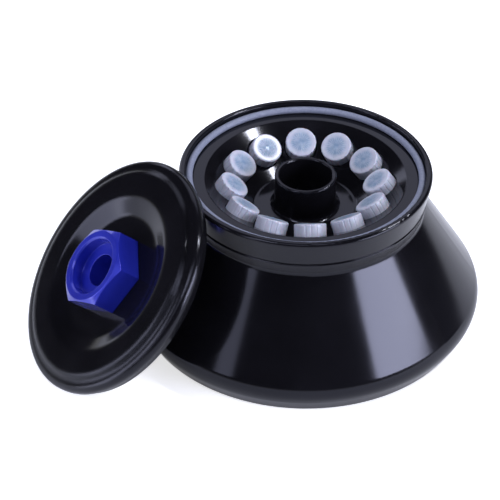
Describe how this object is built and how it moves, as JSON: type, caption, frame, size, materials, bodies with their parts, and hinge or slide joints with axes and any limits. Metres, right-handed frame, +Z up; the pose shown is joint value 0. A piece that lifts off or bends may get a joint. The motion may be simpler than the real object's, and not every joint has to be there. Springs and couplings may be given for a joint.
{
  "type": "fixed angle rotor",
  "caption": "Black fixed angle centrifuge rotor holding capped microtubes in a slanted ring, with its round lid and blue hexagonal knob leaning on the rim.",
  "frame": {"origin": "on the rotor's spin axis in the plane that its foot rests on, at the mouth of the drive bore", "axes": "+Z up along the spin axis, out of the hub; the lid leans towards -X and slightly -Y"},
  "size_m": [0.1972, 0.1605, 0.0791],
  "materials": {
    "black_anodised": "glossy black anodised",
    "blue_anodised": "glossy blue anodised",
    "seal_rubber": "soft grey-blue silicone",
    "tube_plastic": "natural polypropylene",
    "cap_plastic": "bluish white moulded polypropylene",
    "steel": "turned stainless steel"
  },
  "bodies": {
    "rotor": {"rotor_body": "black_anodised", "rim_seal": "seal_rubber", "drive_bush": "steel", "drive_pin_1": "steel", "drive_pin_2": "steel", "tie_down_washer": "steel", "tube_01": "tube_plastic", "tube_02": "tube_plastic", "tube_03": "tube_plastic", "tube_04": "tube_plastic", "tube_05": "tube_plastic", "tube_06": "tube_plastic", "tube_07": "tube_plastic", "tube_08": "tube_plastic", "tube_09": "tube_plastic", "tube_10": "tube_plastic", "tube_11": "tube_plastic", "tube_12": "tube_plastic", "lid_shell": "black_anodised", "knob_seal": "seal_rubber"},
    "tie_down": {"tie_down_screw": "steel", "tie_down_retaining_ring": "steel"},
    "knob": {"lid_knob": "blue_anodised", "knob_retaining_ring": "steel"},
    "cap_01": {"cap_01": "cap_plastic"},
    "cap_02": {"cap_02": "cap_plastic"},
    "cap_03": {"cap_03": "cap_plastic"},
    "cap_04": {"cap_04": "cap_plastic"},
    "cap_05": {"cap_05": "cap_plastic"},
    "cap_06": {"cap_06": "cap_plastic"},
    "cap_07": {"cap_07": "cap_plastic"},
    "cap_08": {"cap_08": "cap_plastic"},
    "cap_09": {"cap_09": "cap_plastic"},
    "cap_10": {"cap_10": "cap_plastic"},
    "cap_11": {"cap_11": "cap_plastic"},
    "cap_12": {"cap_12": "cap_plastic"}
  },
  "joints": [
    {"name": "tie_down_turn", "type": "hinge", "parent": "rotor", "child": "tie_down", "pos_m": [0, 0, 0.04], "axis": [0, 0, 1], "continuous": true},
    {"name": "knob_turn", "type": "hinge", "parent": "rotor", "child": "knob", "pos_m": [-0.07974, -0.03271, 0.03873], "axis": [-0.6797, -0.2788, 0.6784], "continuous": true},
    {"name": "cap_01_unscrew", "type": "hinge", "parent": "rotor", "child": "cap_01", "pos_m": [0.02988, 0.0012, 0.065], "axis": [-0.5731, -0.023, 0.8192], "range_deg": [0, 450]},
    {"name": "cap_02_unscrew", "type": "hinge", "parent": "rotor", "child": "cap_02", "pos_m": [0.02527, 0.01598, 0.065], "axis": [-0.4848, -0.3065, 0.8192], "range_deg": [0, 450]},
    {"name": "cap_03_unscrew", "type": "hinge", "parent": "rotor", "child": "cap_03", "pos_m": [0.0139, 0.02647, 0.065], "axis": [-0.2666, -0.5078, 0.8192], "range_deg": [0, 450]},
    {"name": "cap_04_unscrew", "type": "hinge", "parent": "rotor", "child": "cap_04", "pos_m": [-0.0012, 0.02988, 0.065], "axis": [0.023, -0.5731, 0.8192], "range_deg": [0, 450]},
    {"name": "cap_05_unscrew", "type": "hinge", "parent": "rotor", "child": "cap_05", "pos_m": [-0.01598, 0.02527, 0.065], "axis": [0.3065, -0.4848, 0.8192], "range_deg": [0, 450]},
    {"name": "cap_06_unscrew", "type": "hinge", "parent": "rotor", "child": "cap_06", "pos_m": [-0.02647, 0.0139, 0.065], "axis": [0.5078, -0.2666, 0.8192], "range_deg": [0, 450]},
    {"name": "cap_07_unscrew", "type": "hinge", "parent": "rotor", "child": "cap_07", "pos_m": [-0.02988, -0.0012, 0.065], "axis": [0.5731, 0.023, 0.8192], "range_deg": [0, 450]},
    {"name": "cap_08_unscrew", "type": "hinge", "parent": "rotor", "child": "cap_08", "pos_m": [-0.02527, -0.01598, 0.065], "axis": [0.4848, 0.3065, 0.8192], "range_deg": [0, 450]},
    {"name": "cap_09_unscrew", "type": "hinge", "parent": "rotor", "child": "cap_09", "pos_m": [-0.0139, -0.02647, 0.065], "axis": [0.2666, 0.5078, 0.8192], "range_deg": [0, 450]},
    {"name": "cap_10_unscrew", "type": "hinge", "parent": "rotor", "child": "cap_10", "pos_m": [0.0012, -0.02988, 0.065], "axis": [-0.023, 0.5731, 0.8192], "range_deg": [0, 450]},
    {"name": "cap_11_unscrew", "type": "hinge", "parent": "rotor", "child": "cap_11", "pos_m": [0.01598, -0.02527, 0.065], "axis": [-0.3065, 0.4848, 0.8192], "range_deg": [0, 450]},
    {"name": "cap_12_unscrew", "type": "hinge", "parent": "rotor", "child": "cap_12", "pos_m": [0.02647, -0.0139, 0.065], "axis": [-0.5078, 0.2666, 0.8192], "range_deg": [0, 450]}
  ]
}
